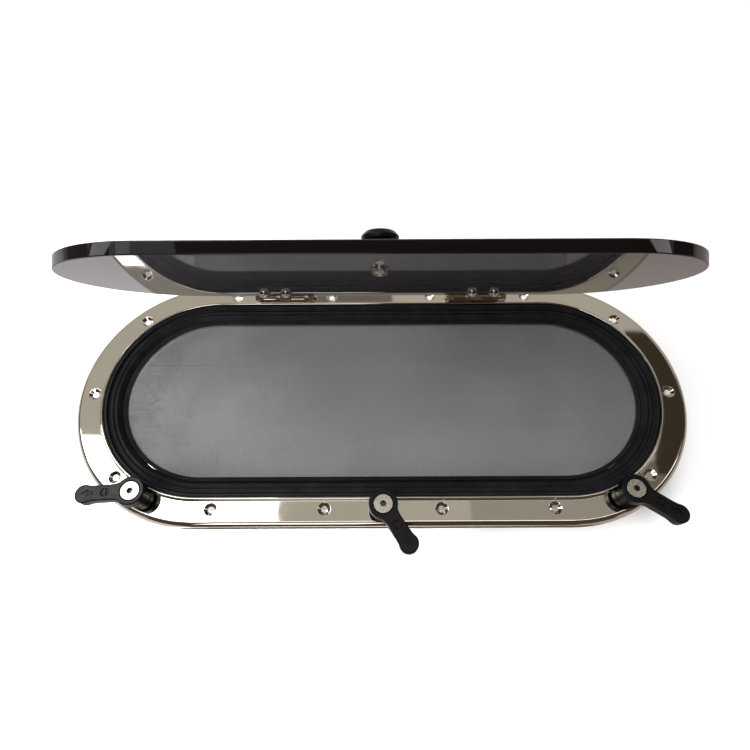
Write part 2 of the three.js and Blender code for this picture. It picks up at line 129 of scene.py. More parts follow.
LID_RADIUS = 92.6
LID_EDGE = 0.9
LID_INSIDE = -0.3
LID_THICK = 10
LID_OUTSIDE = LID_INSIDE + LID_THICK

HINGE_X = {"left": -98.8, "right": 98.8}
PIN_Y = 111.3
PIN_Z = 6.1
PIN_RADIUS = 2.2
PIN_HEAD = 3.6
BORE_RADIUS = 2.5
EAR_RADIUS = 4.8
KNUCKLE_RADIUS = 4.2
HINGE_HALF = 30
EAR_WIDTH = 6
MIDDLE_LUG = 5
ARM_PLAY = 2.6
FOOT = (102.6, 106.6)  # the frame leaf's bar, along Y
LUG_FRONT = 103.2
LUG_BACK = 116.5
LEAF_HALF = 28
LEAF_FRONT = 62
LEAF_BACK = 108.3
GASKET_BACK = 91
PLATE = 2.5
GASKET = (LID_OUTSIDE + GAP, LID_OUTSIDE + GAP + 1)
LEAF = (GASKET[1] + GAP, GASKET[1] + GAP + PLATE)

BOLT_X = {"left": (-12.4, 8.8), "right": (12.4, -8.8)}
BOLT_Y = 76.5
LID_BOLT_RADIUS = 2.5
LID_BOLT_HOLE = 2.8
LID_BOLT_END = LID_INSIDE - 2.6
LID_BOLT_PITCH = 0.8
LID_BOLT_HEAD = (4.7, 2.6)  # radius and height
LID_BOLT_SOCKET = 3
DOME_NUT_RADIUS = 5.5
DOME_NUT_HEIGHT = 4.6
DOME_NUT_DEPTH = 3.2

DOG_BORE = 5.8
DOG_BASE_RADIUS = 10.3
DOG_BASE_FLAT = 7.05
DOG_BASE_TOP = 8.6
DOG_WASHER = (8.9, 9.7)
DOG_WASHER_RADIUS = 9.4
BUSH_RADIUS = 5.4
LEVER_BASE = 10
LEVER_TOP = 20.5
BUSH_TOP = LEVER_TOP - 5.4
HEAD_RADIUS = 12.3
TIP_RADIUS = 8.0
TIP_REACH = 38
WAIST = 6.8
DOG_PATH = 109.5
DOG_TURN = 26.9  # the end dogs' place round the ends, in degrees
DOG_BOLT = 4
DOG_BOLT_PITCH = 1.25
DOG_BOLT_END = -5.8
DOG_BOLT_TOP = LEVER_TOP - 0.4
DOG_HEAD = 8
SOCKET_FLATS = 5
SOCKET_DEPTH = 3.6
# how far below a dog bolt's top the painted shade in its socket lies
SOCKET_SHADE_DEPTH = 2.2
DOG_NUT_FLATS = 13
DOG_NUT_HEIGHT = 3
MARK_X = 20.6  # along the lever's arm
LEVER_ANGLE = {"left": 184, "centre": -57, "right": -34}
BASE_ANGLE = {"left": -DOG_TURN, "centre": 0, "right": DOG_TURN}

KNOB_Y = -44.6
KNOB_FOOT = LID_OUTSIDE + GAP
KNOB_ROOF = KNOB_FOOT + 12  # the end of the hole for its stud
STUD_RADIUS = 3
STUD_PITCH = 1
WASHER_RADIUS = 6.5
WASHER_TOP = LID_INSIDE - GAP
WASHER_THICK = 1
KNOB_NUT_TOP = WASHER_TOP - WASHER_THICK - GAP
KNOB_NUT_FLATS = 10
KNOB_NUT_HEIGHT = 3.2

# ------------------------------------------------------------------ the cloth's pattern, in metres

WEAVE_PITCH = 0.0007
WEAVE_THREAD = 0.52  # a thread's width as a share of the pitch
FOLD_WIDTH = 0.0014

# ------------------------------------------------------------------ outlines


def arc(centre, radius, start, end, steps):
    """Points on a circle, from one angle to another, in degrees."""
    angles = [math.radians(start + (end - start) * k / steps) for k in range(steps + 1)]
    return [(centre[0] + radius * math.cos(a), centre[1] + radius * math.sin(a)) for a in angles]


def fillet(corners, steps=4, closed=True):
    """An outline whose corners (a, b, radius) are rounded, each by its own radius."""
    points = []
    count = len(corners)
    for i, (a, b, radius) in enumerate(corners):
        here = Vector((a, b))
        if radius <= 0 or (not closed and i in (0, count - 1)):
            points.append((a, b))
            continue
        to_last = (Vector(corners[i - 1][:2]) - here).normalized()
        to_next = (Vector(corners[(i + 1) % count][:2]) - here).normalized()
        half = to_last.angle(to_next) / 2
        centre = here + (to_last + to_next).normalized() * (radius / math.sin(half))
        reach = radius / math.tan(half)
        first = here + to_last * reach - centre
        last = here + to_next * reach - centre
        turn = first.angle_signed(last)
        for k in range(steps + 1):
            angle = math.atan2(first.y, first.x) - turn * k / steps
            points.append((centre.x + radius * math.cos(angle),
                           centre.y + radius * math.sin(angle)))
    return points


def box_profile(inner, outer, low, high, radius):
    """A rectangle of radii and heights with rounded corners."""
    return fillet([(inner, low, radius), (outer, low, radius), (outer, high, radius),
                   (inner, high, radius)])


def bezier(start, first, second, end, steps):
    """Points of a cubic curve after its start."""
    points = []
    for k in range(1, steps + 1):
        t = k / steps
        u = 1 - t
        weights = (u ** 3, 3 * u * u * t, 3 * u * t * t, t ** 3)
        points.append(tuple(sum(w * p[i] for w, p in zip(weights, (start, first, second, end)))
                            for i in (0, 1)))
    return points


THREAD_DEPTH = 0.45  # as a share of the pitch
THREAD_ROOT = 0.08


def threaded(radius, low, high, pitch):
    """A screw's side as a profile of (radius, height) from low to high, with ridges."""
    turns = max(1, int((high - low) / pitch))
    step = (high - low) / turns
    points = []
    for k in range(turns):
        points.append((radius - THREAD_DEPTH * pitch, low + step * (k + THREAD_ROOT)))
        points.append((radius, low + step * (k + 0.5)))
    points.append((radius - THREAD_DEPTH * pitch, high - THREAD_ROOT * step))
    return points


# ------------------------------------------------------------------ meshes


def mesh_of(vertices, faces):
    """A mesh with its shared points merged and its faces pointing out."""
    bm = bmesh.new()
    made = [bm.verts.new(v) for v in vertices]
    for face in faces:
        bm.faces.new([made[i] for i in face])
    bmesh.ops.remove_doubles(bm, verts=bm.verts, dist=1e-4)
    bmesh.ops.dissolve_degenerate(bm, edges=bm.edges, dist=1e-5)
    bmesh.ops.recalc_face_normals(bm, faces=bm.faces)
    mesh = bpy.data.meshes.new("shape")
    bm.to_mesh(mesh)
    bm.free()
    return mesh


def skin(rows, wrap_rows=True, wrap_points=True, capped=False):
    """Quads between rows of points that have the same count. Caps close the rows' two ends."""
    count = len(rows[0])
    vertices = [point for row in rows for point in row]
    faces = []
    for i in range(len(rows) if wrap_rows else len(rows) - 1):
        j = (i + 1) % len(rows)
        for k in range(count if wrap_points else count - 1):
            m = (k + 1) % count
            faces.append((i * count + k, j * count + k, j * count + m, i * count + m))
    if capped:
        faces += [tuple(i * count + end for i in range(len(rows))) for end in (0, count - 1)]
    return mesh_of(vertices, faces)


def turned(profile, steps=48, closed=False):
    """(radius, height) points turned about Z. An open profile starts and ends on the axis."""
    rows = []
    for k in range(steps):
        angle = 2 * math.pi * k / steps
        rows.append([(r * math.cos(angle), r * math.sin(angle), z) for r, z in profile])
    return skin(rows, wrap_points=closed)


def round_stadium(profile, closed=True):
    """(radius, height) points carried round the stadium. An open profile is capped at its ends."""
    rows = []
    steps = 60
    for x, start in ((HALF_STRAIGHT, -90), (-HALF_STRAIGHT, 90)):
        for k in range(steps + 1):
            a = math.radians(start + 180 * k / steps)
            rows.append([(x + r * math.cos(a), r * math.sin(a), z) for r, z in profile])
    return skin(rows, wrap_points=closed, capped=not closed)


def prism(outline, low, high):
    """An outline in X and Y between two heights."""
    count = len(outline)
    vertices = [(x, y, z) for z in (low, high) for x, y in outline]
    faces = [tuple(range(count)), tuple(range(count, 2 * count))]
    faces += [(k, (k + 1) % count, count + (k + 1) % count, count + k) for k in range(count)]
    return mesh_of(vertices, faces)


def prism_along_x(outline, left, right):
    """An outline in Y and Z between two x."""
    mesh = prism(outline, left, right)
    mesh.transform(Matrix(((0, 0, 1, 0), (1, 0, 0, 0), (0, 1, 0, 0), (0, 0, 0, 1))))
    return mesh


def rod(radius, low, high, steps=48):
    return turned([(0, low), (radius, low), (radius, high), (0, high)], steps)


def moved(mesh, x=0.0, y=0.0, z=0.0, turn=0.0):
    """The mesh turned about Z by degrees, then shifted."""
    mesh.transform(Matrix.Translation((x, y, z)) @ Matrix.Rotation(math.radians(turn), 4, "Z"))
    return mesh


def evaluated(obj):
    """The mesh that the object's modifiers make, and the object is removed."""
    graph = bpy.context.evaluated_depsgraph_get()
    mesh = bpy.data.meshes.new_from_object(obj.evaluated_get(graph))
    bpy.data.objects.remove(obj)
    return mesh


def as_object(mesh):
    obj = bpy.data.objects.new("work", mesh)
    bpy.context.scene.collection.objects.link(obj)
    return obj


def combined(mesh, tools, operation):
    """The mesh joined with, cut by or kept inside each tool in turn."""
    obj = as_object(mesh)
    helpers = []
    for tool in tools:
        helper = as_object(tool)
        step = obj.modifiers.new("boolean", "BOOLEAN")
        step.operation = operation
        step.object = helper
        step.solver = "MANIFOLD"
        helpers.append(helper)
    result = evaluated(obj)
    for helper in helpers:
        bpy.data.objects.remove(helper)
    return result


def cut(mesh, *tools):
    return combined(mesh, tools, "DIFFERENCE")


def join(mesh, *parts):
    return combined(mesh, parts, "UNION")


def softened(mesh, width, segments=3, angle=35):
    """The mesh with its edges rounded."""
    obj = as_object(mesh)
    step = obj.modifiers.new("bevel", "BEVEL")
    step.width = width
    step.segments = segments
    step.limit_method = "ANGLE"
    step.angle_limit = math.radians(angle)
    step.use_clamp_overlap = True
    return evaluated(obj)


def shaded(mesh):
    """Smooth shading that keeps flats flat and leaves the sharp edges sharp."""
    mesh.shade_smooth()
    mesh.set_sharp_from_angle(angle=math.radians(38))
    obj = as_object(mesh)
    step = obj.modifiers.new("normals", "WEIGHTED_NORMAL")
    step.keep_sharp = True
    step.weight = 75
    return evaluated(obj)


def publish(node, mesh, place=IN_PLACE):
    """A finished piece that stands for one CAD node, on that node's body and slot."""
    mesh = shaded(mesh)
    mesh.transform(place)
    mesh.materials.clear()
    mesh.materials.append(MATERIALS[SLOT_OF[node]])
    obj = bpy.data.objects.new(node + "_finished", mesh)
    mesh.name = obj.name
    bpy.context.scene.collection.objects.link(obj)
    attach(obj, BODY_OF[node])
    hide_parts(node)
    return obj


# ------------------------------------------------------------------ materials


class Shader:
    """A Principled material and short calls for the nodes in front of it."""

    def __init__(self, name, **sockets):
        self.material = bpy.data.materials.new(name)
        self.material.use_nodes = True
        self.tree = self.material.node_tree
        self.surface = self.tree.nodes["Principled BSDF"]
        for socket, value in sockets.items():
            self.surface.inputs[socket.replace("_", " ")].default_value = value
        coordinates = self.node("ShaderNodeTexCoord")
        self.place = coordinates.outputs["Object"]
        self.facing = coordinates.outputs["Normal"]

    def node(self, kind, **settings):
        made = self.tree.nodes.new(kind)
        for key, value in settings.items():
            setattr(made, key, value)
        return made

    def link(self, source, target):
        self.tree.links.new(source, target)

    def axes(self, vector):
        made = self.node("ShaderNodeSeparateXYZ")
        self.link(vector, made.inputs["Vector"])
        return made.outputs

    def stretched(self, scale):
        """Object coordinates scaled by a different number along each axis."""
        mapping = self.node("ShaderNodeMapping")
        self.link(self.place, mapping.inputs["Vector"])
        mapping.inputs["Scale"].default_value = scale
        return mapping.outputs["Vector"]

    def noise(self, scale, detail=3.0, rough=0.5, place=None):
        made = self.node("ShaderNodeTexNoise")
        self.link(place or self.place, made.inputs["Vector"])
        made.inputs["Scale"].default_value = scale
        made.inputs["Detail"].default_value = detail
        made.inputs["Roughness"].default_value = rough
        return made.outputs["Fac"]

    def remap(self, value, low, high, new_low, new_high):
        made = self.node("ShaderNodeMapRange", clamp=True)
        self.link(value, made.inputs["Value"])
        for socket, number in (("From Min", low), ("From Max", high),
                               ("To Min", new_low), ("To Max", new_high)):
            made.inputs[socket].default_value = number
        return made.outputs["Result"]

    def maths(self, operation, first, second=None):
        made = self.node("ShaderNodeMath", operation=operation)
        for socket, value in zip(made.inputs, (first, second)):
            if isinstance(value, (int, float)):
                socket.default_value = value
            elif value is not None:
                self.link(value, socket)
        return made.outputs["Value"]

    def base_colour(self, value, *stops):
        """Colour the surface by a value, through two stops of (position, colour)."""
        ramp = self.node("ShaderNodeValToRGB")
        self.link(value, ramp.inputs["Fac"])
        for element, (position, colour) in zip(ramp.color_ramp.elements, stops):
            element.position = position
            element.color = (*colour, 1)
        self.drive("Base Color", ramp.outputs["Color"])

    def bump(self, height, strength, distance, last=None):
        made = self.node("ShaderNodeBump")
        made.inputs["Strength"].default_value = strength
        made.inputs["Distance"].default_value = distance
        self.link(height, made.inputs["Height"])
        if last is not None:
            self.link(last, made.inputs["Normal"])
        return made.outputs["Normal"]

    def drive(self, socket, value):
        self.link(value, self.surface.inputs[socket])


def mirror_steel():
    """Polished stainless sheet: a little waviness, wipe marks and very fine hairlines."""
    s = Shader("mirror_steel", Metallic=1.0)
    tone = s.noise(9, 3)
    s.base_colour(tone, (0.3, (0.70, 0.665, 0.60)), (0.7, (0.76, 0.725, 0.66)))
    smear = s.noise(38, 4, 0.6)
    s.drive("Roughness", s.remap(smear, 0.35, 0.75, 0.02, 0.065))
    wave = s.bump(s.noise(14, 1), 0.25, 0.0008)
    hairline = s.noise(60, 2, 0.5, s.stretched((1, 30, 30)))
    s.drive("Normal", s.bump(hairline, 0.05, 0.00005, wave))
    return s.material


def satin_steel():
    """Fasteners with a fine machined finish, and painted shade in the bolts' sockets."""
    s = Shader("satin_steel", Metallic=1.0)
    # painted shade: the steel is darkened to the first colour stop in a band round the depth of the
    # dog bolts' hex sockets, where shade would fall
    shade_height = MIDDLE.z + (DOG_BOLT_TOP - SOCKET_SHADE_DEPTH) * MM
    away = s.maths("ABSOLUTE", s.maths("SUBTRACT", s.axes(s.place)["Z"], shade_height))
    outside_shade = s.remap(away, 1.6 * MM, 2.0 * MM, 0.12, 1.0)
    tone = s.maths("MULTIPLY", outside_shade, s.remap(s.noise(120, 3), 0.3, 0.7, 0.88, 1.0))
    s.base_colour(tone, (0.0, (0.03, 0.022, 0.016)), (1.0, (0.56, 0.53, 0.48)))
    s.drive("Roughness", s.remap(s.noise(400, 3), 0.3, 0.7, 0.22, 0.32))
    s.drive("Normal", s.bump(s.noise(1600, 2), 0.03, 0.00003))
    return s.material


def seal_rubber():
    """Moulded black rubber with a faint bloom of dust."""
    s = Shader("seal_rubber", Specular_IOR_Level=0.12)
    tone = s.noise(50, 5, 0.65)
    s.base_colour(tone, (0.35, (0.005, 0.005, 0.006)), (0.75, (0.011, 0.011, 0.013)))
    s.drive("Roughness", s.remap(s.noise(160, 4), 0.3, 0.7, 0.42, 0.58))
    s.drive("Normal", s.bump(s.noise(1400, 3), 0.15, 0.0001))
    return s.material


def moulded(name, dark, pale, roughness, grain):
    """Black moulded nylon: a fine spark-eroded grain and slight wear in the gloss."""
    s = Shader(name, Specular_IOR_Level=0.2)
    tone = s.noise(70, 4)
    s.base_colour(tone, (0.35, dark), (0.7, pale))
    s.drive("Roughness", s.remap(s.noise(110, 4, 0.6), 0.3, 0.7, *roughness))
    coarse = s.bump(s.noise(240, 2), 0.10, 0.0002)
    s.drive("Normal", s.bump(s.noise(grain, 3), 0.16, 0.00006, coarse))
    return s.material


def smoked_acrylic():
    """Dark cast acrylic sheet, polished, with faint wipe marks and a painted veil of light on its
    faces, standing in for light seen through the pane.
    """
    s = Shader("smoked_acrylic", IOR=1.49)
    axes = s.axes(s.facing)
    lean = OPEN_ANGLE - math.pi / 2
    # 1 or -1 on the pane's faces and near 0 on its edge
    squarely = s.maths("SUBTRACT", s.maths("MULTIPLY", axes["Z"], math.sin(lean)),
                       s.maths("MULTIPLY", axes["Y"], math.cos(lean)))
    on_face = s.remap(s.maths("ABSOLUTE", squarely), 0.9, 0.99, 0.0, 1.0)
    # painted light: the faces are coloured lighter than the edge, as if light came through the dark
    # pane
    painted_veil = s.maths("MULTIPLY", on_face, s.remap(s.noise(5, 2), 0.3, 0.7, 0.85, 1.0))
    s.base_colour(painted_veil, (0.0, (0.0025, 0.002, 0.0025)), (1.0, (0.028, 0.0245, 0.027)))
    s.drive("Roughness", s.remap(s.noise(20, 4, 0.6), 0.4, 0.75, 0.012, 0.045))
    s.drive("Normal", s.bump(s.noise(7, 1), 0.03, 0.0005))
    return s.material


def screen_cloth():
    """Woven insect screen: threads over and under, with open holes between them."""
    s = Shader("screen_cloth", Roughness=0.62, Specular_IOR_Level=0.35)
    axes = s.axes(s.place)
    turns = [s.maths("MULTIPLY", axes[k], 1 / WEAVE_PITCH) for k in "XY"]
    # 0 in the middle of a thread and 1 between two threads
    off = [s.maths("MULTIPLY", s.maths("PINGPONG", t, 0.5), 2.0) for t in turns]
    threads = [s.maths("LESS_THAN", o, WEAVE_THREAD) for o in off]
    s.drive("Alpha", s.maths("MAXIMUM", *threads))
    tone = s.noise(18, 4, 0.6)
    fine = s.noise(460, 2, 0.7)
    wander = s.maths("MULTIPLY", s.maths("SUBTRACT", s.noise(7, 2), 0.5), 0.012)
    across = s.maths("ADD", axes["Y"], wander)
    folds = []
    for at in CLOTH_FOLDS:
        away = s.maths("ABSOLUTE", s.maths("SUBTRACT", across, MIDDLE.y + at * MM))
        folds.append(s.remap(away, 0.0, FOLD_WIDTH, 1.0, 0.0))
    in_places = s.remap(s.noise(5, 1), 0.45, 0.6, 0.0, 1.0)
    fold = s.maths("MULTIPLY", s.maths("MAXIMUM", *folds), in_places)
    mixed = s.maths("ADD", s.maths("MULTIPLY", tone, 0.35), s.maths("MULTIPLY", fine, 0.65))
    # painted shade: the cloth's colour is darkened along the fold lines
    mixed = s.maths("SUBTRACT", mixed, s.maths("MULTIPLY", fold, 0.07))
    s.base_colour(mixed, (0.3, (0.036, 0.036, 0.037)), (0.7, (0.142, 0.142, 0.145)))
    rounds = [s.maths("SUBTRACT", 1.0, o) for o in off]
    over = s.maths("SINE", s.maths("MULTIPLY", turns[0], math.pi))
    under = s.maths("SINE", s.maths("MULTIPLY", turns[1], math.pi))
    lift = s.maths("MULTIPLY", over, under)
    height = s.maths("ADD", s.maths("MAXIMUM", *rounds), s.maths("MULTIPLY", lift, 0.3))
    pulled = s.bump(s.noise(1, 2, 0.5, s.stretched((8, 60, 8))), 0.35, 0.0012)
    creased = s.bump(fold, 0.5, 0.0005, pulled)
    s.drive("Normal", s.bump(height, 0.5, 0.0002, creased))
    return s.material


MATERIALS = {
    "mirror_steel": mirror_steel(),
    "satin_steel": satin_steel(),
    "seal_rubber": seal_rubber(),
    "screen_frame": moulded("screen_frame", (0.004, 0.004, 0.0045), (0.008, 0.008, 0.009),
                            roughness=(0.38, 0.54), grain=1800),
    "screen_cloth": screen_cloth(),
    "smoked_acrylic": smoked_acrylic(),
    "black_plastic": moulded("black_plastic", (0.0012, 0.001, 0.0012), (0.0022, 0.0018, 0.002),
                             roughness=(0.26, 0.38), grain=2400),
}

# ------------------------------------------------------------------ frame, seal and screen


def countersink():
    """A drill whose top flares gently into the flange's face."""
    floor = -SHEET - 1
    flare = fillet([(0, floor, 0), (SCREW_RADIUS, floor, 0), (SCREW_RADIUS, -SINK_DEPTH, 0),
                    (SINK_RADIUS, 0, 0.7), (SINK_RADIUS + SINK_FLARE, 0, 0)], 4, closed=False)
    lip = flare[:-1]
    return turned([*lip, (lip[-1][0], 1), (0, 1)], 40)


def screw_places():
    places = [(x, side * SCREW_PATH) for x in SCREW_X for side in (-1, 1)]
    for degrees in SCREW_ANGLES:
        x = HALF_STRAIGHT + SCREW_PATH * math.cos(math.radians(degrees))
        y = SCREW_PATH * math.sin(math.radians(degrees))
        places += [(x, y), (-x, y)]
    return places


def dog_places():
    x = HALF_STRAIGHT + DOG_PATH * math.sin(math.radians(DOG_TURN))
    y = -DOG_PATH * math.cos(math.radians(DOG_TURN))
    return {"left": (-x, y), "centre": (0, -DOG_PATH), "right": (x, y)}


def flange_ring():
    profile = fillet([
        (RIM_INNER, -SHEET, 0.2),
        (RIM_INNER, RIM_TOP, 1.35),
        (RIM_OUTER, RIM_TOP, 1.35),
        (RIM_OUTER, 0, 0.9),
        (FLANGE_OUTER, 0, FLANGE_ROLL),
        (FLANGE_OUTER, -FLANGE_DROP, 0.4),
        (FLANGE_OUTER - SHEET, -FLANGE_DROP, 0.4),
        (FLANGE_OUTER - SHEET, -SHEET, FLANGE_ROLL - SHEET),
    ], 6)
    shell = round_stadium(profile)
    sink = countersink()
    tools = [moved(sink.copy(), x, y) for x, y in screw_places()]
    tools += [moved(rod(DOG_BOLT + GAP, -SHEET - 1, 1), x, y) for x, y in dog_places().values()]
    publish("flange_ring", cut(shell, *tools))


def seal():
    """The ribbed seal: a lip round the lid's edge and two ribs that the lid presses on."""
    profile = fillet([
        (SEAL_INNER, LEDGE_TOP + GAP, 0.3),
        (SEAL_OUTER, LEDGE_TOP + GAP, 0.3),
        (SEAL_OUTER, 0.6, 0.3),
        (97.8, 1.35, 0.5),
        (96.4, 1.5, 0.5),
        (95.7, 0.6, 0.5),
        (95.3, -1.5, 0.4),
        (94.1, -1.95, 0.4),
        (92.9, -1.5, 0.6),
        (91.8, -0.45, 0.7),
        (90.7, -1.4, 0.6),
        (89.8, -2.4, 0.4),
        (88.9, -1.5, 0.6),
        (87.8, -0.45, 0.7),
        (86.7, -1.6, 1.0),
        (84.9, -4.0, 1.5),
        (SEAL_INNER, -6.0, 0.6),
    ], 4)
    publish("main_seal", round_stadium(profile))


def cloth():
    """One layer of screen, pulled between its two frames, with a few shallow creases."""
    rows = []
    rings = 34
    straight = 56
    bend = 40
    for k in range(rings + 1):
        radius = CLOTH_RADIUS * k / rings
        row = []
        for side, start in ((1, -90), (-1, 90)):
            centre = (side * HALF_STRAIGHT, 0)
            row += arc(centre, radius, start, start + 180, bend)
            row += [(side * HALF_STRAIGHT * (1 - 2 * n / straight), side * radius)
                    for n in range(1, straight)]
        free = max(0.0, min(1.0, (SCREEN_INNER - CLOTH_HELD - radius) / CLOTH_EASE))
        rows.append([(x, y, CLOTH_HEIGHT + free * crease(x, y)) for x, y in row])
    mesh = skin(rows, wrap_rows=False)
    obj = publish("screen_mesh", mesh)


def crease(x, y):
    """How far the stretched cloth stands off its plane, in millimetres."""
    long_wave = noise.noise(Vector((x / 160, y / 26, 0.3)))
    short_wave = noise.noise(Vector((x / 60, y / 14, 4.1)))
    return 0.55 * long_wave + 0.2 * short_wave


def frame_and_screen():
    flange_ring()
    spigot = box_profile(RIM_INNER, RIM_OUTER, SPIGOT_END, -SHEET - GAP, 0.5)
    publish("spigot_sleeve", round_stadium(spigot))
    ledge = box_profile(LEDGE_INNER, SEAL_OUTER, LEDGE_TOP - LEDGE_THICK, LEDGE_TOP, 0.6)
    publish("seal_ledge", round_stadium(ledge))
    seal()
    low, high = SCREEN_UPPER
    upper = fillet([(SCREEN_INNER, low, 0.15), (SCREEN_OUTER, low, 0.2), (SCREEN_OUTER, high, 0.3),
                    (SCREEN_INNER, SCREEN_LIP, 0.15)], 4)
    publish("screen_frame_upper", round_stadium(upper))
    lower = box_profile(SCREEN_INNER, SCREEN_OUTER, *SCREEN_LOWER, 0.2)
    publish("screen_frame_lower", round_stadium(lower))
    cloth()


# ------------------------------------------------------------------ hinges


def bolt_holes(side, low, high):
    return [moved(rod(LID_BOLT_HOLE, low, high, 32), x, BOLT_Y) for x in BOLT_X[side]]


def hinge_bore():
    mesh = rod(BORE_RADIUS, -HINGE_HALF - 2, HINGE_HALF + 2)
    mesh.transform(Matrix.Translation((0, PIN_Y, PIN_Z)) @ Matrix.Rotation(math.pi / 2, 4, "Y"))
    return mesh


def rounded_rectangle(left, low, right, high, radius):
    return fillet([(left, low, radius), (right, low, radius), (right, high, radius),
                   (left, high, radius)], 8)


def frame_leaf():
    """A bar welded to the flange, with three lugs that hold the pin."""
    bar = prism(rounded_rectangle(-HINGE_HALF, FOOT[0], HINGE_HALF, FOOT[1], 1.5), GAP, GAP + PLATE)
    lug = [(LUG_FRONT, GAP), (LUG_BACK, GAP), (PIN_Y + EAR_RADIUS, PIN_Z)]
    lug += arc((PIN_Y, PIN_Z), EAR_RADIUS, 0, 150, 28)[1:]
    lug.append((LUG_FRONT, 2.4))
    spans = [(-HINGE_HALF, -HINGE_HALF + EAR_WIDTH), (-MIDDLE_LUG, MIDDLE_LUG),
             (HINGE_HALF - EAR_WIDTH, HINGE_HALF)]
    lugs = [prism_along_x(lug, *span) for span in spans]
    return cut(softened(join(bar, *lugs), 0.5), hinge_bore())


def lid_leaf(side):
    """A plate on the lid with two arms that curl round the pin."""
    wing = prism(rounded_rectangle(-LEAF_HALF, LEAF_FRONT, LEAF_HALF, LEAF_BACK, 3), *LEAF)
    arm = [(LEAF_BACK, LEAF[1]), (LEAF_BACK - 3, LEAF[1]), (LEAF_BACK - 3, LEAF[0]),
           (PIN_Y - KNUCKLE_RADIUS, PIN_Z + 3)]
    arm += arc((PIN_Y, PIN_Z), KNUCKLE_RADIUS, 180, 395, 36)
    inner = MIDDLE_LUG + ARM_PLAY
    outer = HINGE_HALF - EAR_WIDTH - ARM_PLAY
    arms = [prism_along_x(arm, *span) for span in ((-outer, -inner), (inner, outer))]
    body = softened(join(wing, *arms), 0.35)
    return cut(body, hinge_bore(), *bolt_holes(side, LEAF[0] - 1, LEAF[1] + 1))


def hinge_pin():
    end = HINGE_HALF + GAP
    head = fillet([(0, -end - 2, 0), (2.8, -end - 1.9, 0.9), (PIN_HEAD, -end - 0.6, 0.6),
                   (PIN_HEAD, -end, 0.1), (PIN_RADIUS, -end, 0)], 4, closed=False)
    profile = head + [(r, -z) for r, z in reversed(head)]
    mesh = turned(profile)
    mesh.transform(Matrix.Rotation(math.pi / 2, 4, "Y"))
    return mesh


def lid_bolt():
    """A button-headed screw through leaf, gasket and pane."""
    seat = LEAF[1] + GAP
    radius, height = LID_BOLT_HEAD
    thread = threaded(LID_BOLT_RADIUS, LID_BOLT_END, LID_INSIDE + 2.0, LID_BOLT_PITCH)
    head = fillet([(radius, seat, 0), (radius, seat + 0.9, 0.5), (3.3, seat + height, 1.2),
                   (0, seat + height, 0)], 4, closed=False)
    body = turned([(0, LID_BOLT_END), *thread, (LID_BOLT_RADIUS, seat), *head])
    return cut(body, prism(hexagon(LID_BOLT_SOCKET), seat + 1.0, seat + height + 1.4))


def hexagon(flats, turn=0):
    return arc((0, 0), flats / math.sqrt(3), turn, turn + 360, 6)[:-1]


def dome_nut():
    """A low domed nut, seen on the inner face of the lid."""
    face = LID_INSIDE - GAP
    crown = face - DOME_NUT_HEIGHT
    roof = face - DOME_NUT_DEPTH
    side = DOME_NUT_RADIUS
    dome = fillet([(0, crown, 0), (3.4, crown + 0.1, 3.0), (side - 0.05, face - 1.6, 1.6),
                   (side, face, 0)], 7, closed=False)
    return turned([*dome, (LID_BOLT_HOLE, face), (LID_BOLT_HOLE, roof), (0, roof)])


def hinges():
    for side, x in HINGE_X.items():
        publish(f"hinge_frame_leaf_{side}", moved(frame_leaf(), x))
        publish(f"hinge_pin_{side}", moved(hinge_pin(), x, PIN_Y, PIN_Z))
        publish(f"hinge_lid_leaf_{side}", moved(lid_leaf(side), x), SWUNG)
        outline = rounded_rectangle(1 - LEAF_HALF, LEAF_FRONT + 1, LEAF_HALF - 1, GASKET_BACK, 2)
        pad = softened(prism(outline, *GASKET), 0.2)
        holes = bolt_holes(side, LID_OUTSIDE, LEAF[0])
        publish(f"hinge_gasket_{side}", moved(cut(pad, *holes), x), SWUNG)
        for i, offset in enumerate(BOLT_X[side]):
            publish(f"lid_bolt_{side}_{i + 1}", moved(lid_bolt(), x + offset, BOLT_Y), SWUNG)
            publish(f"dome_nut_{side}_{i + 1}", moved(dome_nut(), x + offset, BOLT_Y), SWUNG)


# ------------------------------------------------------------------ lid and knob


def lid_pane():
    face = LID_RADIUS - 6
    edge = fillet([(face, LID_INSIDE, 0), (LID_RADIUS, LID_INSIDE, LID_EDGE),
                   (LID_RADIUS, LID_OUTSIDE, LID_EDGE), (face, LID_OUTSIDE, 0)], 5, closed=False)
    slab = round_stadium(edge, closed=False)
    tools = []
    for side, x in HINGE_X.items():
        tools += [moved(hole, x) for hole in bolt_holes(side, LID_INSIDE - 1, LID_OUTSIDE + 1)]
    tools.append(moved(rod(STUD_RADIUS + GAP, LID_INSIDE - 1, LID_OUTSIDE + 1), 0, KNOB_Y))
    return cut(slab, *tools)


def knob():
    foot = KNOB_FOOT
    bore = STUD_RADIUS + GAP
    profile = fillet([
        (bore, foot, 0),
        (8.3, foot, 0.5),
        (7, foot + 2.2, 1.5),
        (7, foot + 7.2, 2.5),
        (13.6, foot + 10.2, 1.2),
        (14.4, foot + 13.2, 1.3),
        (11.2, foot + 16.8, 3.5),
        (0, foot + 19.35, 0),
        (0, KNOB_ROOF, 0),
        (bore, KNOB_ROOF, 0),
    ], 6, closed=False)
    return turned([*profile, profile[0]], 64)


